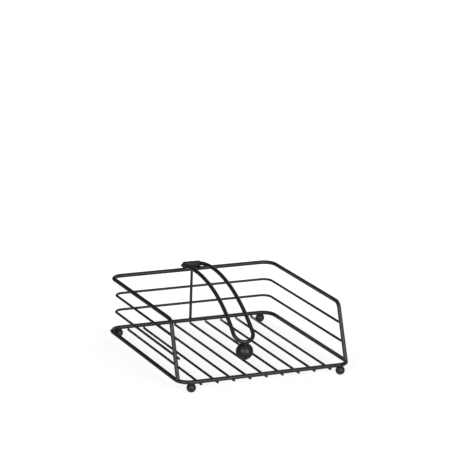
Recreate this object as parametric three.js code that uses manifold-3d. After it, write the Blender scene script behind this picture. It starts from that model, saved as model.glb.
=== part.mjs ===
// Napkin holder: a welded steel-wire tray on ball feet, with a hinged wire arm whose ball holds the napkins down.
// Millimetres, +Z up, X to the right, the open front towards -Y; the origin is on the table under the middle.

import * as THREE from 'three';
import { mergeVertices } from 'three/addons/utils/BufferGeometryUtils.js';
import Module from 'manifold-3d';

const wasm = await Module();
wasm.setup();

// Wire diameters and sheet thickness
const RING_WIRE = 3.8;
const RIM_WIRE = 3.8;
const SIDE_WIRE = 2.2;
const SLAT_WIRE = 2.2;
const BACK_POST_WIRE = 2.5;
const ARM_WIRE = 3.8;
const CLIP_SHEET = 0.8;

// Base ring, on the wire's centreline
const RING_WIDTH = 186;
const RING_DEPTH = 186;
const RING_CORNER_RADIUS = 13;

// Slats under the ring
const SLAT_COUNT = 9;
const SLAT_SIDE_MARGIN = 22.2; // from the ring's side runs to the outer slats
const SLAT_END_INSET = 2; // from the outside of the ring, at both ends

// Ball feet under the front and rear runs of the ring
const FOOT_DIAMETER = 9.1;
const FOOT_FLAT_DIAMETER = 2.8; // worn flat that stands on the table
const FOOT_INSET = 11.4; // from the ring's side runs
const FOOT_SEAT = 0.95; // depth that the ring is let into the ball

// Rim wire with its two leaning front posts; heights are above the ring, setbacks behind the ring's front run
const RIM_HEIGHT = 56;
const RIM_SIDE_INSET = 1.1; // the side rails stand this far inside the ring's side runs
const RIM_CORNER_RADIUS = 12;
const RIM_FRONT_SETBACK = 30;
const POST_BEND_RADIUS = 8;
const POST_FOOT_SETBACK = 8.5;

// Side wires inside the rim
const UPPER_SIDE_HEIGHT = 38;
const LOWER_SIDE_HEIGHT = 20.2;
const SIDE_CORNER_RADIUS = 9;
const SIDE_END_OVERHANG = 1.6; // past the middle of the post

// Hinge clip: a folded strip around the arm's pivot ends
const CLIP_WIDTH = 18.4;
const CLIP_FOLD_RADIUS = 0.55; // middle of the sheet, at the roof
const CLIP_CURL_RADIUS = 2.2; // middle of the sheet, under the pivot
const CLIP_LEAF_DROP = 1.4; // rear leaf, below the middle of the rear rail

// Weighted arm
const ARM_ARC_RADIUS = 146;
const ARM_START_ANGLE = THREE.MathUtils.degToRad(10.4); // above level, where the leg leaves the pivot
const ARM_LOOP_RADIUS = 10.8;
const ARM_ELBOW_RADIUS = 2.4;
const ARM_END_GAP = 1; // between the two pivot ends inside the clip
const BALL_DIAMETER = 17.4;
const BALL_WELD_ANGLE = THREE.MathUtils.degToRad(15); // the ball sits this far behind straight below the loop

// Clearances
const WELD_GAP = 0.3; // between welded neighbours
const PIVOT_CLEARANCE = 0.2; // around the pivot ends
const ARM_SIDE_CLEARANCE = 0.35; // between the clip's ends and the legs
const BALL_REST_GAP = 0.3; // between the ball and the slat under it

// Facets
const WIRE_SIDES = 12;
const BEND_STEPS = 8;
const ELBOW_STEPS = 6;
const LEG_STEPS = 16;
const BALL_SIDES = 24;
const FOOT_SIDES = 16;
const FOOT_RINGS = 9;
const MERGE_TOLERANCE = 1e-4; // vertices closer than this are one

// Satin black powder coat
const COAT_COLOUR = 0x1d1b1c;
const COAT_ROUGHNESS = 0.5;

// Levels and places worked out from the sizes above
const footFlatDrop = Math.sqrt((FOOT_DIAMETER / 2) ** 2 - (FOOT_FLAT_DIAMETER / 2) ** 2);
const ringZ = footFlatDrop + FOOT_DIAMETER / 2 + RING_WIRE / 2 - FOOT_SEAT;
const slatZ = ringZ - RING_WIRE / 2 - WELD_GAP - SLAT_WIRE / 2;
const rimZ = ringZ + RIM_HEIGHT;
const backY = RING_DEPTH / 2;
const frontY = -RING_DEPTH / 2;
const rimX = RING_WIDTH / 2 - RIM_SIDE_INSET;

const clipHalf = ARM_WIRE / 2 + PIVOT_CLEARANCE + CLIP_SHEET / 2; // pivot axis to the middle of the sheet
const pivotY = backY + RIM_WIRE / 2 + WELD_GAP + CLIP_SHEET / 2 - clipHalf;
const pivotZ = rimZ + RIM_WIRE / 2 + WELD_GAP + CLIP_SHEET / 2 + clipHalf;
const legRootX = CLIP_WIDTH / 2 + ARM_SIDE_CLEARANCE + ARM_WIRE / 2;

// How far the ring's rounded corner draws the wire in at a given distance from the square corner
function cornerDraw(distance) {
  const along = Math.max(0, RING_CORNER_RADIUS - distance);
  return RING_CORNER_RADIUS - Math.sqrt(RING_CORNER_RADIUS ** 2 - along ** 2);
}

const postTop = new THREE.Vector3(rimX, frontY + RIM_FRONT_SETBACK, rimZ);
const postFoot = new THREE.Vector3(
  RING_WIDTH / 2 - cornerDraw(POST_FOOT_SETBACK),
  frontY + POST_FOOT_SETBACK,
  ringZ,
);

// Middle of the right-hand post at a height
function postAt(z) {
  return postFoot.clone().lerp(postTop, (z - postFoot.z) / (postTop.z - postFoot.z));
}

// A circular bend that rounds one corner of a wire
class Bend extends THREE.Curve {
  constructor(previous, corner, next, radius) {
    super();
    const along = corner.clone().sub(previous).normalize();
    const leaving = next.clone().sub(corner).normalize();
    const turn = along.angleTo(leaving);
    const tangentLength = radius * Math.tan(turn / 2);
    this.radius = radius;
    this.turn = turn;
    this.along = along;
    this.inward = leaving.clone().addScaledVector(along, -along.dot(leaving)).normalize();
    this.start = corner.clone().addScaledVector(along, -tangentLength);
    this.end = corner.clone().addScaledVector(leaving, tangentLength);
    this.centre = this.start.clone().addScaledVector(this.inward, radius);
  }

  getPoint(t, target = new THREE.Vector3()) {
    const angle = this.turn * t;
    return target
      .copy(this.centre)
      .addScaledVector(this.inward, -this.radius * Math.cos(angle))
      .addScaledVector(this.along, this.radius * Math.sin(angle));
  }
}

// One leg of the arm: an arc that droops forward from the pivot while the legs close in from root to loop
class ArmLeg extends THREE.Curve {
  constructor(centre, endAngle) {
    super();
    this.centre = centre;
    this.endAngle = endAngle;
  }

  getPoint(t, target = new THREE.Vector3()) {
    const angle = THREE.MathUtils.lerp(-ARM_START_ANGLE, this.endAngle, t);
    const x = THREE.MathUtils.lerp(legRootX, ARM_LOOP_RADIUS, THREE.MathUtils.smoothstep(t, 0, 1));
    return target.set(
      x,
      this.centre.y - ARM_ARC_RADIUS * Math.sin(angle),
      this.centre.z + ARM_ARC_RADIUS * Math.cos(angle),
    );
  }
}

// A curve run backwards on the other side of the middle plane
class MirroredBack extends THREE.Curve {
  constructor(curve) {
    super();
    this.curve = curve;
  }

  getPoint(t, target = new THREE.Vector3()) {
    this.curve.getPoint(1 - t, target);
    target.x = -target.x;
    return target;
  }
}

// The centreline of a bent wire: runs laid end to end, each with its own number of steps
class WirePath extends THREE.Curve {
  constructor(runs) {
    super();
    this.runs = runs;
    this.steps = runs.reduce((sum, run) => sum + run.steps, 0);
  }

  getPoint(t, target = new THREE.Vector3()) {
    let station = t * this.steps;
    let index = 0;
    while (index < this.runs.length - 1 && station > this.runs[index].steps) {
      station -= this.runs[index].steps;
      index += 1;
    }
    const { curve, steps } = this.runs[index];
    return curve.getPoint(Math.min(station / steps, 1), target);
  }

  // Steps stay where the runs put them, close in the bends and far apart on the straights
  getUtoTmapping(u) {
    return u;
  }
}

function straight(from, to) {
  return { curve: new THREE.LineCurve3(from, to), steps: 1 };
}

// Straight runs with rounded corners: each corner is a point with a bend radius, and the two ends have none
function openWire(corners) {
  const runs = [];
  let from = corners[0].point;
  for (let i = 1; i < corners.length - 1; i += 1) {
    const bend = new Bend(corners[i - 1].point, corners[i].point, corners[i + 1].point, corners[i].radius);
    runs.push(straight(from, bend.start), { curve: bend, steps: BEND_STEPS });
    from = bend.end;
  }
  runs.push(straight(from, corners.at(-1).point));
  return new WirePath(runs);
}

function rod(path, diameter) {
  const section = new THREE.Shape().absarc(0, 0, diameter / 2, 0, 2 * Math.PI);
  return new THREE.ExtrudeGeometry(section, {
    extrudePath: path,
    steps: path.steps,
    curveSegments: WIRE_SIDES / 2,
  });
}

// Only positions, with shared vertices merged
function welded(geometry) {
  const bare = geometry.clone();
  bare.deleteAttribute('normal');
  bare.deleteAttribute('uv');
  return mergeVertices(bare, MERGE_TOLERANCE);
}

// A rod whose path ends where it starts: the two end caps are dropped and the seam is merged
function loopedRod(path, diameter) {
  const open = rod(path, diameter);
  const walls = open.groups.find((group) => group.materialIndex === 1);
  const positions = open.attributes.position.array.slice(walls.start * 3, (walls.start + walls.count) * 3);
  const loop = new THREE.BufferGeometry();
  loop.setAttribute('position', new THREE.BufferAttribute(positions, 3));
  return welded(loop);
}

function toSolid(geometry) {
  const merged = welded(geometry);
  return new wasm.Manifold(new wasm.Mesh({
    numProp: 3,
    vertProperties: new Float32Array(merged.attributes.position.array),
    triVerts: new Uint32Array(merged.index.array),
  }));
}

function toGeometry(solid) {
  const mesh = solid.getMesh();
  const geometry = new THREE.BufferGeometry();
  geometry.setAttribute('position', new THREE.BufferAttribute(mesh.vertProperties, 3));
  geometry.setIndex(new THREE.BufferAttribute(mesh.triVerts, 1));
  return geometry;
}

// Cuts weld saddles into a piece where other pieces pass through it
function saddled(geometry, ...cutters) {
  return toGeometry(cutters.reduce((solid, cutter) => solid.subtract(toSolid(cutter)), toSolid(geometry)));
}

const holder = new THREE.Group();

function addPart(name, geometry) {
  const flat = geometry.index ? geometry.toNonIndexed() : geometry;
  flat.computeVertexNormals();
  const powderCoat = new THREE.MeshStandardMaterial({ color: COAT_COLOUR, roughness: COAT_ROUGHNESS });
  const mesh = new THREE.Mesh(flat, powderCoat);
  mesh.name = name;
  holder.add(mesh);
  return mesh;
}

// Base ring: starts in the middle of the front run, goes round and meets itself there
function ringPath() {
  const x = RING_WIDTH / 2;
  const square = [[x, frontY], [x, backY], [-x, backY], [-x, frontY]].map(([px, py]) => ({
    point: new THREE.Vector3(px, py, ringZ),
    radius: RING_CORNER_RADIUS,
  }));
  const seam = { point: new THREE.Vector3(0, frontY, ringZ) };
  return openWire([seam, ...square, seam]);
}

// Rim: left post foot, left rail, rear rail, right rail, right post foot
function rimPath() {
  const right = [
    { point: new THREE.Vector3(rimX, backY, rimZ), radius: RIM_CORNER_RADIUS },
    { point: postTop, radius: POST_BEND_RADIUS },
    { point: postFoot },
  ];
  const left = right.map(({ point, radius }) => ({
    point: new THREE.Vector3(-point.x, point.y, point.z),
    radius,
  }));
  return openWire([...left.reverse(), ...right]);
}

// Side wire: a flat U on the inner side of the posts
function sidePath(height) {
  const z = ringZ + height;
  const post = postAt(z);
  const x = post.x - RIM_WIRE / 2 - WELD_GAP - SIDE_WIRE / 2;
  const endY = post.y - SIDE_END_OVERHANG;
  const rearY = backY - BACK_POST_WIRE / 2 - WELD_GAP - SIDE_WIRE / 2;
  return openWire([
    { point: new THREE.Vector3(-x, endY, z) },
    { point: new THREE.Vector3(-x, rearY, z), radius: SIDE_CORNER_RADIUS },
    { point: new THREE.Vector3(x, rearY, z), radius: SIDE_CORNER_RADIUS },
    { point: new THREE.Vector3(x, endY, z) },
  ]);
}

const ringClearance = loopedRod(ringPath(), RING_WIRE + 2 * WELD_GAP);
const rimClearance = rod(rimPath(), RIM_WIRE + 2 * WELD_GAP);

addPart('base_ring', loopedRod(ringPath(), RING_WIRE));
addPart('rim_wire', saddled(rod(rimPath(), RIM_WIRE), ringClearance));
addPart('upper_side_wire', rod(sidePath(UPPER_SIDE_HEIGHT), SIDE_WIRE));
addPart('lower_side_wire', rod(sidePath(LOWER_SIDE_HEIGHT), SIDE_WIRE));

const backPost = rod(
  new WirePath([straight(new THREE.Vector3(0, backY, ringZ), new THREE.Vector3(0, backY, rimZ))]),
  BACK_POST_WIRE,
);
addPart('back_post', saddled(backPost, ringClearance, rimClearance));

// Slats
const slatPitch = (RING_WIDTH - 2 * SLAT_SIDE_MARGIN) / (SLAT_COUNT - 1);
const slatEndY = RING_DEPTH / 2 + RING_WIRE / 2 - SLAT_END_INSET;
for (let i = 0; i < SLAT_COUNT; i += 1) {
  const x = (i - (SLAT_COUNT - 1) / 2) * slatPitch;
  const path = new WirePath([
    straight(new THREE.Vector3(x, -slatEndY, slatZ), new THREE.Vector3(x, slatEndY, slatZ)),
  ]);
  addPart(`slat_${i + 1}`, rod(path, SLAT_WIRE));
}

// Feet: turned balls with a small flat below and the ring's saddle above
function footBall() {
  const radius = FOOT_DIAMETER / 2;
  const flatAngle = Math.asin(FOOT_FLAT_DIAMETER / FOOT_DIAMETER);
  const profile = [new THREE.Vector2(0, -footFlatDrop)];
  for (let i = 0; i <= FOOT_RINGS; i += 1) {
    const angle = THREE.MathUtils.lerp(flatAngle, Math.PI, i / FOOT_RINGS);
    profile.push(new THREE.Vector2(radius * Math.sin(angle), -radius * Math.cos(angle)));
  }
  profile.at(-1).x = 0;
  return new THREE.LatheGeometry(profile, FOOT_SIDES).rotateX(Math.PI / 2);
}

const footX = RING_WIDTH / 2 - FOOT_INSET;
const footY = RING_DEPTH / 2 - cornerDraw(FOOT_INSET);
for (const [row, sideY] of [['front', -1], ['rear', 1]]) {
  for (const [side, sideX] of [['left', -1], ['right', 1]]) {
    const ball = footBall().translate(sideX * footX, sideY * footY, footFlatDrop);
    addPart(`foot_${row}_${side}`, saddled(ball, ringClearance));
  }
}

// Hinge clip: the strip starts under the pivot, curls up the front, makes the roof and drops behind the rail
function clipSection() {
  const lapY = clipHalf - CLIP_SHEET - WELD_GAP;
  const leafZ = rimZ - pivotZ - CLIP_LEAF_DROP;
  const corners = [
    { point: new THREE.Vector3(lapY, -clipHalf, 0) },
    { point: new THREE.Vector3(-clipHalf, -clipHalf, 0), radius: CLIP_CURL_RADIUS },
    { point: new THREE.Vector3(-clipHalf, clipHalf, 0), radius: CLIP_FOLD_RADIUS },
    { point: new THREE.Vector3(clipHalf, clipHalf, 0), radius: CLIP_FOLD_RADIUS },
    { point: new THREE.Vector3(clipHalf, leafZ, 0) },
  ];
  const middle = openWire(corners);
  const outer = [];
  const inner = [];
  for (let i = 0; i <= middle.steps; i += 1) {
    const point = middle.getPoint(i / middle.steps);
    const tangent = middle.getTangent(i / middle.steps);
    const normal = new THREE.Vector2(-tangent.y, tangent.x).multiplyScalar(CLIP_SHEET / 2);
    outer.push(new THREE.Vector2(point.x + normal.x, point.y + normal.y));
    inner.push(new THREE.Vector2(point.x - normal.x, point.y - normal.y));
  }
  return new THREE.Shape([...outer, ...inner.reverse()]);
}

const clip = new THREE.ExtrudeGeometry(clipSection(), { depth: CLIP_WIDTH, bevelEnabled: false });
clip.translate(0, 0, -CLIP_WIDTH / 2);
// The section's own axes become Y and Z, and the strip's width runs along X
clip.applyMatrix4(new THREE.Matrix4().makeBasis(
  new THREE.Vector3(0, 1, 0),
  new THREE.Vector3(0, 0, 1),
  new THREE.Vector3(1, 0, 0),
));
addPart('hinge_clip', clip.translate(0, pivotY, pivotZ));

// Arm: the ball rests on the slats, so the legs' arc ends where the loop meets the ball
const ballZ = slatZ + SLAT_WIRE / 2 + BALL_REST_GAP + BALL_DIAMETER / 2;
const ballReach = BALL_DIAMETER / 2 + WELD_GAP + ARM_WIRE / 2;
const loopZ = ballZ + ballReach * Math.cos(BALL_WELD_ANGLE);
const leaving = new THREE.Vector3(0, -Math.cos(ARM_START_ANGLE), Math.sin(ARM_START_ANGLE));
const legStart = new THREE.Vector3(legRootX, pivotY, pivotZ).addScaledVector(leaving, ARM_ELBOW_RADIUS);
const legCentre = new THREE.Vector3(
  0,
  legStart.y - ARM_ARC_RADIUS * Math.sin(ARM_START_ANGLE),
  legStart.z - ARM_ARC_RADIUS * Math.cos(ARM_START_ANGLE),
);
const legEndAngle =
  Math.acos((loopZ - legCentre.z) / Math.hypot(ARM_ARC_RADIUS, ARM_LOOP_RADIUS)) -
  Math.atan(ARM_LOOP_RADIUS / ARM_ARC_RADIUS);
const loopY = legCentre.y - ARM_ARC_RADIUS * Math.sin(legEndAngle) - ARM_LOOP_RADIUS * Math.cos(legEndAngle);
const ballY = loopY + ballReach * Math.sin(BALL_WELD_ANGLE);

function armPath() {
  const leg = new ArmLeg(legCentre, legEndAngle);
  const pivotEnd = new THREE.Vector3(ARM_END_GAP / 2, pivotY, pivotZ);
  const elbowCorner = new THREE.Vector3(legRootX, pivotY, pivotZ);
  const elbow = new Bend(pivotEnd, elbowCorner, legStart, ARM_ELBOW_RADIUS);
  const loopCorner = new THREE.Vector3(ARM_LOOP_RADIUS, loopY, loopZ);
  const loopMiddle = new THREE.Vector3(0, loopY, loopZ);
  const loop = new Bend(leg.getPoint(1), loopCorner, loopMiddle, ARM_LOOP_RADIUS);
  const half = [
    straight(pivotEnd, elbow.start),
    { curve: elbow, steps: ELBOW_STEPS },
    { curve: leg, steps: LEG_STEPS },
    { curve: loop, steps: BEND_STEPS },
  ];
  const otherHalf = half.map(({ curve, steps }) => ({ curve: new MirroredBack(curve), steps })).reverse();
  return new WirePath([...half, ...otherHalf]);
}

addPart('arm_wire', rod(armPath(), ARM_WIRE));

const ball = new THREE.SphereGeometry(BALL_DIAMETER / 2, BALL_SIDES, BALL_SIDES / 2).rotateX(Math.PI / 2);
addPart('weight_ball', ball.translate(0, ballY, ballZ));

export default holder;
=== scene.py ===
"""Napkin holder of welded steel wire in black powder coat: its looks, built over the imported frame.

Metres, +Z up, the open front towards -Y. Every wire is drawn out of a disc as on a wire bender:
the tip is extruded along the straight runs and spun round the bends.
"""

from math import acos, atan2, ceil, cos, hypot, pi, radians, sin, sqrt, tan

import bpy
from mathutils import Matrix, Vector


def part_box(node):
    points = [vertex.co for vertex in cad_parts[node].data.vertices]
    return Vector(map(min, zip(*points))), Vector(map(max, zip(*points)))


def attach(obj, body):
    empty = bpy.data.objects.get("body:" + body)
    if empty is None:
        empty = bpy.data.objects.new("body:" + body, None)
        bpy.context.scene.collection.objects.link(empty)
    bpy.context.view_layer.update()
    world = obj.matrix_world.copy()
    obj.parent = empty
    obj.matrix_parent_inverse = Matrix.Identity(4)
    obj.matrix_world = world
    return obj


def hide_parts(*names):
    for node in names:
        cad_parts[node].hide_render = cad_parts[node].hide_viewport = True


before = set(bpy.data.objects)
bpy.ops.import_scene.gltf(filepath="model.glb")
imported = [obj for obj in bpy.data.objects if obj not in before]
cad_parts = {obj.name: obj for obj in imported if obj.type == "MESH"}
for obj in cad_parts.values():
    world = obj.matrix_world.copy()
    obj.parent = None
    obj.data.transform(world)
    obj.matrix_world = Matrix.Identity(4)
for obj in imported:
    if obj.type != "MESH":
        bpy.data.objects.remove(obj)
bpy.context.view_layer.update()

MM = 0.001

ALONG_X = Vector((1, 0, 0))
ALONG_Y = Vector((0, 1, 0))
ALONG_Z = Vector((0, 0, 1))
HALF_TURN = Matrix.Rotation(pi, 4, "Z")

SLAT_COUNT = 9
SLATS = [f"slat_{number}" for number in range(1, SLAT_COUNT + 1)]

# Sizes that the boxes of the frame's nodes don't give
RING_CORNER = 13 * MM
RIM_CORNER = 12 * MM
RIM_SIDE_INSET = 1.1 * MM
RIM_FRONT_SETBACK = 30 * MM
POST_FOOT_SETBACK = 8.5 * MM
POST_BEND = 8 * MM
SIDE_CORNER = 9 * MM
FOOT_FLAT = 2.8 * MM
BALL_FLAT = 3 * MM
CLIP_SHEET = 0.8 * MM
CLIP_FOLD = 0.55 * MM
CLIP_CURL = 2.2 * MM
CLIP_LAP_GAP = 0.3 * MM
ARM_WIRE = 3.8 * MM
ARM_ARC = 146 * MM
ARM_START = radians(10.4)
ARM_LOOP = 10.8 * MM
ARM_ELBOW = 2.4 * MM
ARM_END_GAP = 1 * MM
ARM_WAIST_CORNER = 9.4 * MM

# The powder coat on all sides of the bare wire
COAT = 0.15 * MM

# Fineness of the meshes
WIRE_SIDES = 32
BEND_STEP = radians(6)
ARC_STEP = 4 * MM
SHORTEST_RUN = 0.35 * MM
BALL_SIDES = 64
CUT_ROUNDING = 0.35 * MM
SHEET_ROUNDING = 0.15 * MM
ROUNDING_STEPS = 3
MERGE_DISTANCE = 0.00035 * MM
SEAM_DISTANCE = 0.035 * MM
SMOOTH_ANGLE = radians(35)

# Weld fillets: the stubs of wire that are fused, the nuggets between them, and the smoothing
WELD_STUB = 5 * MM
BEND_STUB = 3 * MM
BEND_STUB_SHIFT = 1.25 * MM
WELD_SUNK = 0.1 * MM
WELD_NUGGET = 1.9 * MM
BALL_NUGGET = 3.8 * MM
CLIP_BEAD = 1.3 * MM
CLIP_BEAD_X = 5.5 * MM
WELD_VOXEL = 0.2 * MM
WELD_SMOOTHING = 0.5
WELD_SMOOTHING_ROUNDS = 14

# How far above a ball's middle its weld begins, as a share of the ball's diameter
FOOT_WELD_START = 1 / 6
BALL_WELD_START = 1 / 3

# The camera that the photo was taken with, in the frame's own terms
PHOTO_SIDE = 466
CAMERA_AIM = Vector((5.4, 7.4, 126.7)) * MM
CAMERA_AZIMUTH = radians(-25.55)
CAMERA_ELEVATION = radians(15.2)
CAMERA_ROLL = radians(2.03)
CAMERA_DISTANCE = 2375 * MM
CAMERA_FOCAL_PIXELS = 2350
SENSOR = 36


def box_middle(node):
    low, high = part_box(node)
    return (low + high) / 2


def box_size(node):
    low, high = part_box(node)
    return high - low


# Levels and places, read from the frame
ring_wire = box_size("base_ring").z
ring_z = box_middle("base_ring").z
ring_x = box_size("base_ring").x / 2 - ring_wire / 2
ring_y = box_size("base_ring").y / 2 - ring_wire / 2
rim_wire = ring_wire
rim_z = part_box("rim_wire")[1].z - rim_wire / 2
rim_x = ring_x - RIM_SIDE_INSET
post_wire = box_size("back_post").x
slat_wire = box_size("slat_1").z
slat_z = box_middle("slat_1").z
side_wire = box_size("upper_side_wire").z
clip_half = (box_size("hinge_clip").y - CLIP_SHEET) / 2
pivot_y = box_middle("hinge_clip").y
pivot_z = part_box("hinge_clip")[1].z - CLIP_SHEET / 2 - clip_half


def corner_draw(distance):
    """How far the ring's round corner draws the wire in, at a distance from the square corner."""
    along = max(0, RING_CORNER - distance)
    return RING_CORNER - sqrt(RING_CORNER**2 - along**2)


post_foot = Vector((ring_x - corner_draw(POST_FOOT_SETBACK), POST_FOOT_SETBACK - ring_y, ring_z))
post_top = Vector((rim_x, RIM_FRONT_SETBACK - ring_y, rim_z))
post_along = (post_top - post_foot).normalized()
corner_middle = Vector((ring_x - RING_CORNER, RING_CORNER - ring_y, ring_z))

arm_low, arm_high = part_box("arm_wire")
leg_root_x = arm_high.x - ARM_WIRE / 2
loop_middle = Vector((0, arm_low.y + ARM_WIRE / 2, arm_low.z + ARM_WIRE / 2))
arc_centre_z = pivot_z + ARM_ELBOW * sin(ARM_START) - ARM_ARC * cos(ARM_START)
loop_reach = hypot(ARM_ARC, ARM_LOOP)
arm_end = acos((loop_middle.z - arc_centre_z) / loop_reach) - atan2(ARM_LOOP, ARM_ARC)


# Modelling steps


def pick_faces(piece, wanted):
    """Goes into edit mode with only the wanted faces selected."""
    bpy.ops.object.mode_set(mode="EDIT")
    bpy.ops.mesh.select_mode(type="FACE")
    bpy.ops.mesh.select_all(action="DESELECT")
    bpy.ops.object.mode_set(mode="OBJECT")
    for face in piece.data.polygons:
        face.select = wanted(face)
    bpy.ops.object.mode_set(mode="EDIT")


def pick_piece(piece):
    bpy.ops.object.select_all(action="DESELECT")
    piece.select_set(True)
    bpy.context.view_layer.objects.active = piece


def new_piece(name):
    """The primitive just added becomes a piece: its place goes into its mesh."""
    piece = bpy.context.object
    piece.name = name
    bpy.ops.object.transform_apply(location=True, rotation=True, scale=True)
    return piece


def facing(along):
    """The turn that lays a primitive's own Z along a direction."""
    return along.to_track_quat("Z", "Y").to_euler()


def draw_out(corners):
    """Draws the one face of the piece just made along the corners: straight runs are extruded, and
    round corners are spun. A run too short for a section of its own only moves the tip."""
    places = [place for place, _ in corners]
    tip = places[0]
    along = (places[1] - tip).normalized()
    bpy.ops.object.mode_set(mode="EDIT")
    bpy.ops.mesh.select_all(action="SELECT")
    for (corner, radius), following in zip(corners[1:-1], places[2:]):
        leaving = (following - corner).normalized()
        turn = along.angle(leaving)
        setback = radius * tan(turn / 2)
        stop = corner - along * setback
        run = stop - tip
        if run.length > SHORTEST_RUN:
            bpy.ops.mesh.extrude_region_move(TRANSFORM_OT_translate={"value": run})
        else:
            bpy.ops.transform.translate(value=run)
        inward = (leaving - along * along.dot(leaving)).normalized()
        bpy.ops.mesh.spin(
            steps=ceil(max(turn / BEND_STEP, turn * radius / ARC_STEP)),
            angle=turn,
            center=stop + inward * radius,
            axis=inward.cross(along),
        )
        tip = corner + leaving * setback
        along = leaving
    bpy.ops.mesh.extrude_region_move(TRANSFORM_OT_translate={"value": places[-1] - tip})
    bpy.ops.mesh.select_all(action="SELECT")
    bpy.ops.mesh.remove_doubles(threshold=MERGE_DISTANCE)
    bpy.ops.mesh.normals_make_consistent(inside=False)
    bpy.ops.object.mode_set(mode="OBJECT")


def wire(name, corners, diameter):
    """A wire through the corners, each of them a place and the radius of its bend."""
    bpy.ops.object.select_all(action="DESELECT")
    start, following = corners[0][0], corners[1][0]
    bpy.ops.mesh.primitive_circle_add(
        vertices=WIRE_SIDES,
        radius=diameter / 2 + COAT,
        fill_type="NGON",
        location=start,
        rotation=facing(following - start),
    )
    piece = new_piece(name)
    draw_out(corners)
    return piece


def straight_wire(name, start, end, diameter):
    return wire(name, [(start, None), (end, None)], diameter)


def other_side(corners):
    """The corners of the left half of a wire, from those of the right half."""
    return [(Vector((-place.x, place.y, place.z)), radius) for place, radius in reversed(corners)]


def is_cut(face):
    """The cut ends of a wire are its only faces with more than four sides."""
    return len(face.vertices) > 4


def soften_cuts(piece):
    """Rounds the cut ends of a wire."""
    pick_faces(piece, is_cut)
    bpy.ops.mesh.bevel(offset=CUT_ROUNDING, segments=ROUNDING_STEPS, affect="EDGES")
    bpy.ops.object.mode_set(mode="OBJECT")


def join_ends(piece):
    """Makes a closed loop of a wire that ends where it starts."""
    pick_faces(piece, is_cut)
    bpy.ops.mesh.delete(type="FACE")
    bpy.ops.mesh.select_all(action="SELECT")
    bpy.ops.mesh.remove_doubles(threshold=SEAM_DISTANCE)
    bpy.ops.mesh.normals_make_consistent(inside=False)
    bpy.ops.object.mode_set(mode="OBJECT")


def ball(name, centre, radius):
    bpy.ops.object.select_all(action="DESELECT")
    bpy.ops.mesh.primitive_uv_sphere_add(
        segments=BALL_SIDES, ring_count=BALL_SIDES // 2, radius=radius, location=centre
    )
    return new_piece(name)


def keep_above(piece, place, normal):
    """Cuts off what a piece has below a plane, and closes it there with a flat."""
    pick_piece(piece)
    bpy.ops.object.mode_set(mode="EDIT")
    bpy.ops.mesh.select_all(action="SELECT")
    bpy.ops.mesh.bisect(
        plane_co=place, plane_no=normal, use_fill=True, clear_inner=True, threshold=MERGE_DISTANCE
    )
    bpy.ops.object.mode_set(mode="OBJECT")


def joined(name, pieces):
    bpy.ops.object.select_all(action="DESELECT")
    for piece in pieces:
        piece.select_set(True)
    bpy.context.view_layer.objects.active = pieces[0]
    bpy.ops.object.join()
    pieces[0].name = name
    return pieces[0]


def moved_copy(piece, matrix):
    copy = piece.copy()
    copy.data = piece.data.copy()
    copy.data.transform(matrix)
    bpy.context.collection.objects.link(copy)
    return copy


def mirror_copy(piece):
    copy = moved_copy(piece, Matrix.Scale(-1, 4, ALONG_X))
    copy.data.flip_normals()
    return copy


def weld(name, rods, balls):
    """The fillet that weld and coat leave between pieces: stubs of them are fused and smoothed, so
    that the surface rises out of the pieces only in the crease."""
    bpy.ops.object.select_all(action="DESELECT")
    stubs = []
    for place, along, length, diameter in rods:
        bpy.ops.mesh.primitive_cylinder_add(
            vertices=WIRE_SIDES,
            radius=diameter / 2 + COAT - WELD_SUNK,
            depth=length,
            location=place,
            rotation=facing(along),
        )
        stubs.append(new_piece("stub"))
    for place, diameter in balls:
        stubs.append(ball("stub", place, diameter / 2))
    piece = joined(name, stubs)
    fuse = piece.modifiers.new("fuse", "REMESH")
    fuse.mode = "VOXEL"
    fuse.voxel_size = WELD_VOXEL
    smooth = piece.modifiers.new("smooth", "SMOOTH")
    smooth.factor = WELD_SMOOTHING
    smooth.iterations = WELD_SMOOTHING_ROUNDS
    for modifier in ("fuse", "smooth"):
        bpy.ops.object.modifier_apply(modifier=modifier)
    return piece


def dress(piece, body, *nodes):
    """Gives a finished piece its smooth shading, its coat, its body and the nodes it stands for."""
    pick_piece(piece)
    bpy.ops.object.shade_smooth_by_angle(angle=SMOOTH_ANGLE)
    piece.data.materials.clear()
    piece.data.materials.append(powder_coat)
    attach(piece, body)
    if nodes:
        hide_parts(*nodes)


# Materials


class Shade:
    """A socket in a tree of shader nodes. Arithmetic on it adds Math nodes, and add() any other."""

    def __init__(self, tree, socket=None):
        self.tree = tree
        self.socket = socket

    def add(self, kind, settings=None, sockets=None, output=0):
        node = self.tree.nodes.new(kind)
        for name, value in (settings or {}).items():
            setattr(node, name, value)
        for name, value in (sockets or {}).items():
            if isinstance(value, Shade):
                self.tree.links.new(value.socket, node.inputs[name])
            else:
                node.inputs[name].default_value = value
        return Shade(self.tree, node.outputs[output] if node.outputs else None)

    def maths(self, operation, first, second):
        return self.add("ShaderNodeMath", {"operation": operation}, {0: first, 1: second})

    def __add__(self, other):
        return self.maths("ADD", self, other)

    def __radd__(self, other):
        return self.maths("ADD", other, self)

    def __sub__(self, other):
        return self.maths("SUBTRACT", self, other)

    def __rsub__(self, other):
        return self.maths("SUBTRACT", other, self)

    def __mul__(self, other):
        return self.maths("MULTIPLY", self, other)

    def __rmul__(self, other):
        return self.maths("MULTIPLY", other, self)


def new_material(name):
    material = bpy.data.materials.new(name)
    material.use_nodes = True
    material.node_tree.nodes.clear()
    return material, Shade(material.node_tree)


def finish_material(shade, surface):
    shade.add("ShaderNodeOutputMaterial", sockets={"Surface": surface})


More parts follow.
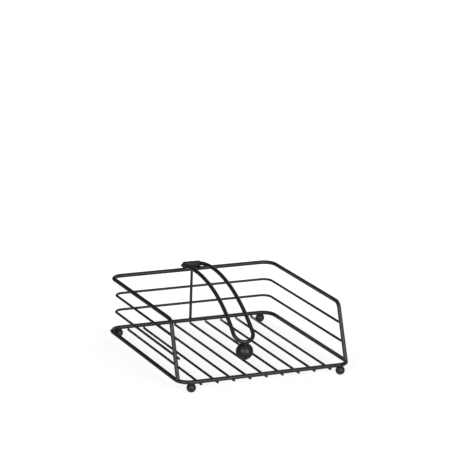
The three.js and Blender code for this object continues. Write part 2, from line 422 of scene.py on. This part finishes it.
# The coat's colour and gloss vary in cloudy patches and in a fine grain, which also stands proud
COAT_DARK = (0.0110, 0.0088, 0.0103, 1)
COAT_PALE = (0.0195, 0.0158, 0.0184, 1)
COAT_ROUGHNESS = 0.44
NOISE_MEAN = 0.5
PATCH_SCALE = 60
PATCH_DETAIL = 3
PATCH_SHARE = 0.6
PATCH_ROUGHNESS = 0.12
GRAIN_SCALE = 1500
GRAIN_DETAIL = 2
GRAIN_SHARE = 0.4
GRAIN_ROUGHNESS = 0.08
GRAIN_RELIEF = 0.45
GRAIN_HEIGHT = 0.1 * MM


def make_powder_coat():
    material, shade = new_material("black_powder_coat")
    place = shade.add("ShaderNodeTexCoord", output="Object")
    patches = shade.add(
        "ShaderNodeTexNoise",
        sockets={"Vector": place, "Scale": PATCH_SCALE, "Detail": PATCH_DETAIL},
    )
    grain = shade.add(
        "ShaderNodeTexNoise",
        sockets={"Vector": place, "Scale": GRAIN_SCALE, "Detail": GRAIN_DETAIL},
    )
    colour = shade.add(
        "ShaderNodeMix",
        {"data_type": "RGBA"},
        {"Factor": patches * PATCH_SHARE + grain * GRAIN_SHARE, "A": COAT_DARK, "B": COAT_PALE},
        output="Result",
    )
    roughness = (
        COAT_ROUGHNESS
        + (patches - NOISE_MEAN) * PATCH_ROUGHNESS
        + (grain - NOISE_MEAN) * GRAIN_ROUGHNESS
    )
    relief = shade.add(
        "ShaderNodeBump",
        sockets={"Height": grain, "Strength": GRAIN_RELIEF, "Distance": GRAIN_HEIGHT},
    )
    surface = shade.add(
        "ShaderNodeBsdfPrincipled",
        sockets={"Base Color": colour, "Roughness": roughness, "Normal": relief},
    )
    finish_material(shade, surface)
    return material


powder_coat = make_powder_coat()


# Pieces


def make_base_ring():
    plan = ((ring_x, -ring_y), (ring_x, ring_y), (-ring_x, ring_y), (-ring_x, -ring_y))
    corners = [(Vector((x, y, ring_z)), RING_CORNER) for x, y in plan]
    seam = (Vector((0, -ring_y, ring_z)), None)
    ring = wire("base_ring_loop", [seam, *corners, seam], ring_wire)
    join_ends(ring)
    dress(ring, "tray", "base_ring")


def make_rim():
    """One wire from foot to foot: front posts, side rails and rear rail."""
    rear_corner = Vector((rim_x, ring_y, rim_z))
    right = [(rear_corner, RIM_CORNER), (post_top, POST_BEND), (post_foot, None)]
    dress(wire("rim_bent_wire", other_side(right) + right, rim_wire), "tray", "rim_wire")


def make_side_wire(node):
    low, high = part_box(node)
    x = high.x - side_wire / 2
    rear = high.y - side_wire / 2
    z = (low.z + high.z) / 2
    right = [(Vector((x, rear, z)), SIDE_CORNER), (Vector((x, low.y, z)), None)]
    piece = wire(f"{node}_bent", other_side(right) + right, side_wire)
    soften_cuts(piece)
    dress(piece, "tray", node)


def make_back_post():
    foot = Vector((0, ring_y, ring_z))
    top = Vector((0, ring_y, rim_z))
    dress(straight_wire("back_post_rod", foot, top, post_wire), "tray", "back_post")


def make_slats():
    """The first slat is drawn, and the others are its copies."""
    first_node, *other_nodes = SLATS
    low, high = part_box(first_node)
    x = (low.x + high.x) / 2
    front = Vector((x, low.y, slat_z))
    rear = Vector((x, high.y, slat_z))
    first = straight_wire(f"{first_node}_rod", front, rear, slat_wire)
    soften_cuts(first)
    for node in other_nodes:
        copy = moved_copy(first, Matrix.Translation((box_middle(node).x - x, 0, 0)))
        copy.name = f"{node}_rod"
        dress(copy, "tray", node)
    dress(first, "tray", first_node)


def make_feet():
    """The first ball gets its worn flat on the table, and the others are its copies."""
    middle = box_middle("foot_front_left")
    bare_radius = box_size("foot_front_left").x / 2
    centre = Vector((middle.x, middle.y, sqrt(bare_radius**2 - (FOOT_FLAT / 2) ** 2)))
    first = ball("foot_front_left_ball", centre, bare_radius + COAT)
    keep_above(first, Vector((0, 0, 0)), ALONG_Z)
    for node in ("foot_front_right", "foot_rear_left", "foot_rear_right"):
        shift = box_middle(node) - middle
        copy = moved_copy(first, Matrix.Translation((shift.x, shift.y, 0)))
        copy.name = f"{node}_ball"
        dress(copy, "tray", node)
    dress(first, "tray", "foot_front_left")


def make_hinge_clip():
    """A strip of sheet, curled under the pivot, folded over it and dropped behind the rail."""
    low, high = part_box("hinge_clip")
    section = [
        (clip_half - CLIP_SHEET - CLIP_LAP_GAP, -clip_half, None),
        (-clip_half, -clip_half, CLIP_CURL),
        (-clip_half, clip_half, CLIP_FOLD),
        (clip_half, clip_half, CLIP_FOLD),
        (clip_half, low.z - pivot_z, None),
    ]
    corners = [(Vector((0, pivot_y + y, pivot_z + z)), radius) for y, z, radius in section]
    start, following = corners[0][0], corners[1][0]
    bpy.ops.object.select_all(action="DESELECT")
    bpy.ops.mesh.primitive_plane_add(size=1, location=start, rotation=facing(following - start))
    bpy.context.object.scale = (high.x - low.x, CLIP_SHEET, 1)
    clip = new_piece("hinge_clip_strip")
    draw_out(corners)
    bpy.ops.object.mode_set(mode="EDIT")
    bpy.ops.mesh.select_mode(type="EDGE")
    bpy.ops.mesh.select_all(action="DESELECT")
    bpy.ops.mesh.edges_select_sharp(sharpness=SMOOTH_ANGLE)
    bpy.ops.mesh.bevel(offset=SHEET_ROUNDING, segments=ROUNDING_STEPS, affect="EDGES")
    bpy.ops.object.mode_set(mode="OBJECT")
    dress(clip, "tray", "hinge_clip")


def make_arm():
    """The hairpin: pivot end, elbow, one long arc, the round loop, and the same back again.

    The legs have a slight waist, which tilts their bends, so the radii of arc and loop are fitted
    for each bend to begin where the last one ends.
    """
    leaving = Vector((0, -cos(ARM_START), sin(ARM_START)))
    pivot_end = Vector((ARM_END_GAP / 2, pivot_y, pivot_z))
    elbow = Vector((leg_root_x, pivot_y, pivot_z))
    arc_corner = elbow + leaving * (ARM_ELBOW + ARM_ARC * tan((ARM_START + arm_end) / 2))
    arc_corner.x = ARM_WAIST_CORNER
    loop_corner = loop_middle + ALONG_X * ARM_LOOP
    root_run = arc_corner - elbow
    loop_run = loop_corner - arc_corner
    arc_setback = root_run.length - ARM_ELBOW * tan(root_run.angle(ALONG_X) / 2)
    arc_radius = arc_setback / tan(root_run.angle(loop_run) / 2)
    loop_radius = ARM_LOOP / tan(loop_run.angle(-ALONG_X) / 2)
    right = [
        (pivot_end, None),
        (elbow, ARM_ELBOW),
        (arc_corner, arc_radius),
        (loop_corner, loop_radius),
    ]
    arm = wire("arm_hairpin", right + other_side(right), ARM_WIRE)
    soften_cuts(arm)
    dress(arm, "arm", "arm_wire")


def make_weight_ball():
    """The ball has a flat under the loop, where the weld takes it up."""
    radius = box_size("weight_ball").x / 2 + COAT
    centre = box_middle("weight_ball")
    piece = ball("weight_ball_steel", centre, radius)
    towards = (loop_middle - centre).normalized()
    flat = centre + towards * sqrt(radius**2 - (BALL_FLAT / 2) ** 2)
    keep_above(piece, flat, -towards)
    dress(piece, "arm", "weight_ball")


# Welds


def bend_rods(middle, towards, along, radius, diameter):
    """Two short stubs that follow a bend round its middle, on either side of where it is welded."""
    rods = []
    for side in (-1, 1):
        turn = side * BEND_STUB_SHIFT / radius
        place = middle + (towards * cos(turn) + along * sin(turn)) * radius
        rods.append((place, along * cos(turn) - towards * sin(turn), BEND_STUB, diameter))
    return rods


def make_slat_welds():
    """One weld under the ring's front run, copied to both ends of every slat."""
    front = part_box("slat_5")[0].y
    rods = [
        (Vector((0, -ring_y, ring_z)), ALONG_X, WELD_STUB, ring_wire),
        (Vector((0, front + WELD_STUB / 2, slat_z)), ALONG_Y, WELD_STUB, slat_wire),
    ]
    crease_z = (ring_z - ring_wire / 2 + slat_z + slat_wire / 2) / 2
    nugget = Vector((0, -ring_y + WELD_NUGGET / 2, crease_z))
    middle = weld("slat_welds", rods, [(nugget, WELD_NUGGET)])
    welds = []
    for node in SLATS:
        shift = Matrix.Translation((box_middle(node).x, 0, 0))
        welds.append(moved_copy(middle, shift))
        welds.append(moved_copy(middle, HALF_TURN @ shift))
    bpy.data.objects.remove(middle)
    dress(joined("slat_welds", welds), "tray")


def make_side_welds():
    """Both side wires on the front posts and on the back post."""
    welds = []
    for node in ("upper_side_wire", "lower_side_wire"):
        low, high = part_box(node)
        z = (low.z + high.z) / 2
        post = post_foot + post_along * ((z - ring_z) / post_along.z)
        side = Vector((high.x - side_wire / 2, low.y + WELD_STUB / 2, z))
        nugget = Vector(((post.x - rim_wire / 2 + side.x + side_wire / 2) / 2, post.y, z))
        rods = [
            (post, post_along, WELD_STUB, rim_wire),
            (side, ALONG_Y, WELD_STUB, side_wire),
        ]
        right = weld(f"{node}_weld", rods, [(nugget, WELD_NUGGET)])
        rear = Vector((0, high.y - side_wire / 2, z))
        upright = Vector((0, ring_y, z))
        nugget = Vector((0, (upright.y - post_wire / 2 + rear.y + side_wire / 2) / 2, z))
        rods = [
            (upright, ALONG_Z, WELD_STUB, post_wire),
            (rear, ALONG_X, WELD_STUB, side_wire),
        ]
        behind = weld(f"{node}_rear_weld", rods, [(nugget, WELD_NUGGET)])
        welds += [right, mirror_copy(right), behind]
    dress(joined("side_welds", welds), "tray")


def make_post_welds():
    """The front posts on the base ring, and the back post on the ring and the rail."""
    outwards = (post_foot - corner_middle).normalized()
    rods = bend_rods(corner_middle, outwards, ALONG_Z.cross(outwards), RING_CORNER, ring_wire)
    rods.append((post_foot + post_along * (WELD_STUB / 2), post_along, WELD_STUB, rim_wire))
    right = weld("post_weld", rods, [])
    welds = [right, mirror_copy(right)]
    for z, thickness, upwards in ((ring_z, ring_wire, 1), (rim_z, rim_wire, -1)):
        place = Vector((0, ring_y, z))
        rods = [
            (place, ALONG_X, WELD_STUB, thickness),
            (place + ALONG_Z * (upwards * WELD_STUB / 2), ALONG_Z, WELD_STUB, post_wire),
        ]
        welds.append(weld("back_post_weld", rods, []))
    dress(joined("post_welds", welds), "tray")


def make_foot_welds():
    """One foot under its corner of the ring, copied to the other three."""
    middle = box_middle("foot_front_right")
    diameter = box_size("foot_front_right").x
    centre = Vector((middle.x, middle.y, sqrt(diameter**2 - FOOT_FLAT**2) / 2))
    beyond = (middle.x - corner_middle.x) / RING_CORNER
    outwards = Vector((beyond, -sqrt(1 - beyond**2), 0))
    rods = bend_rods(corner_middle, outwards, ALONG_Z.cross(outwards), RING_CORNER, ring_wire)
    right = weld("foot_weld", rods, [(centre, diameter + COAT)])
    keep_above(right, centre + ALONG_Z * (diameter * FOOT_WELD_START), ALONG_Z)
    left = mirror_copy(right)
    welds = [right, left, moved_copy(right, HALF_TURN), moved_copy(left, HALF_TURN)]
    dress(joined("foot_welds", welds), "tray")


def make_clip_welds():
    """Two beads under the clip's curl and two behind the rail, at the leaf's edge."""
    low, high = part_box("hinge_clip")
    rods = [(Vector((0, ring_y, rim_z)), ALONG_X, high.x - low.x, rim_wire)]
    for x in (-CLIP_BEAD_X, CLIP_BEAD_X):
        under_curl = Vector((x, ring_y, rim_z + rim_wire / 2))
        behind_rail = Vector((x, ring_y + rim_wire / 2, low.z))
        rods += [(place, ALONG_X, WELD_STUB, CLIP_BEAD) for place in (under_curl, behind_rail)]
    dress(weld("clip_welds", rods, []), "tray")


def make_ball_weld():
    """The weight ball under the middle of the loop."""
    centre = box_middle("weight_ball")
    diameter = box_size("weight_ball").x
    towards = (loop_middle - centre).normalized()
    arm_along = Vector((0, -cos(arm_end), -sin(arm_end)))
    loop_centre = loop_middle - arm_along * ARM_LOOP
    rods = bend_rods(loop_centre, arm_along, ALONG_X, ARM_LOOP, ARM_WIRE)
    nugget = centre + towards * (diameter / 2)
    piece = weld("ball_weld", rods, [(centre, diameter + COAT), (nugget, BALL_NUGGET)])
    keep_above(piece, centre + towards * (diameter * BALL_WELD_START), towards)
    dress(piece, "arm")


make_base_ring()
make_rim()
make_side_wire("upper_side_wire")
make_side_wire("lower_side_wire")
make_back_post()
make_slats()
make_feet()
make_hinge_clip()
make_arm()
make_weight_ball()
make_slat_welds()
make_side_welds()
make_post_welds()
make_foot_welds()
make_clip_welds()
make_ball_weld()


# Stage, light and camera

# The floor glows white to the camera, a little less near the object, so that its shadow shows
FLOOR_SIZE = 14
FLOOR_COLOUR = (0.8, 0.8, 0.8, 1)
FLOOR_SEEN_GLOW = 0.6
FLOOR_MIRRORED_GLOW = 0.12
FLOOR_NEAR = 0.13
FLOOR_FAR = 0.4
FLOOR_NEAR_GLOW = 1.42
FLOOR_FAR_GLOW = 1.7

WORLD_COLOUR = (1, 1, 1, 1)
WORLD_STRENGTH = 0.05


def make_floor():
    bpy.ops.object.select_all(action="DESELECT")
    bpy.ops.mesh.primitive_plane_add(size=FLOOR_SIZE)
    floor = bpy.context.object
    floor.name = "floor"
    material, shade = new_material("white_floor")
    matte = shade.add("ShaderNodeBsdfDiffuse", sockets={"Color": FLOOR_COLOUR})
    camera_ray = shade.add("ShaderNodeLightPath", output="Is Camera Ray")
    glossy_ray = shade.add("ShaderNodeLightPath", output="Is Glossy Ray")
    clear_ray = shade.add("ShaderNodeLightPath", output="Is Transmission Ray")
    place = shade.add("ShaderNodeTexCoord", output="Object")
    reach = shade.add("ShaderNodeVectorMath", {"operation": "LENGTH"}, {0: place}, output="Value")
    level = shade.add(
        "ShaderNodeMapRange",
        sockets={
            "Value": reach,
            "From Min": FLOOR_NEAR,
            "From Max": FLOOR_FAR,
            "To Min": FLOOR_NEAR_GLOW,
            "To Max": FLOOR_FAR_GLOW,
        },
    )
    glow = shade.add("ShaderNodeEmission", sockets={"Color": level})
    share = camera_ray * FLOOR_SEEN_GLOW + (glossy_ray + clear_ray) * FLOOR_MIRRORED_GLOW
    finish_material(shade, shade.add("ShaderNodeMixShader", sockets={0: share, 1: matte, 2: glow}))
    floor.data.materials.append(material)


def direction(azimuth, elevation):
    """From the object towards something at that azimuth, counted from the front, and elevation."""
    return Vector((sin(azimuth) * cos(elevation), -cos(azimuth) * cos(elevation), sin(elevation)))


def make_lamp(name, azimuth, elevation, distance, size, power):
    """A square lamp that faces the object, with its angles in degrees."""
    towards = direction(radians(azimuth), radians(elevation))
    bpy.ops.object.light_add(type="AREA", location=towards * distance, rotation=facing(towards))
    lamp = bpy.context.object
    lamp.name = name
    lamp.data.size = size
    lamp.data.energy = power


def make_world():
    world = bpy.data.worlds.new("studio")
    world.use_nodes = True
    background = world.node_tree.nodes["Background"]
    background.inputs["Color"].default_value = WORLD_COLOUR
    background.inputs["Strength"].default_value = WORLD_STRENGTH
    bpy.context.scene.world = world


def make_camera():
    back = direction(CAMERA_AZIMUTH, CAMERA_ELEVATION)
    right = Vector((cos(CAMERA_AZIMUTH), sin(CAMERA_AZIMUTH), 0))
    level = Matrix((right, back.cross(right), back)).transposed()
    bpy.ops.object.camera_add(location=CAMERA_AIM + back * CAMERA_DISTANCE)
    camera = bpy.context.object
    camera.rotation_euler = (level @ Matrix.Rotation(CAMERA_ROLL, 3, "Z")).to_euler()
    camera.data.sensor_width = SENSOR
    camera.data.lens = SENSOR * CAMERA_FOCAL_PIXELS / PHOTO_SIDE
    bpy.context.scene.camera = camera


make_floor()
make_world()
make_lamp("left_softbox", azimuth=-50, elevation=18, distance=2.6, size=0.8, power=30)
make_lamp("right_softbox", azimuth=10, elevation=17, distance=2.6, size=1.0, power=38)
make_lamp("ceiling_softbox", azimuth=0, elevation=88, distance=1.5, size=1.4, power=2)
make_lamp("rear_softbox", azimuth=132, elevation=25, distance=0.5, size=0.35, power=0.45)
make_lamp("rear_kicker", azimuth=180, elevation=3.5, distance=0.5, size=0.05, power=0.35)
make_camera()
bpy.context.scene.view_settings.view_transform = "Standard"
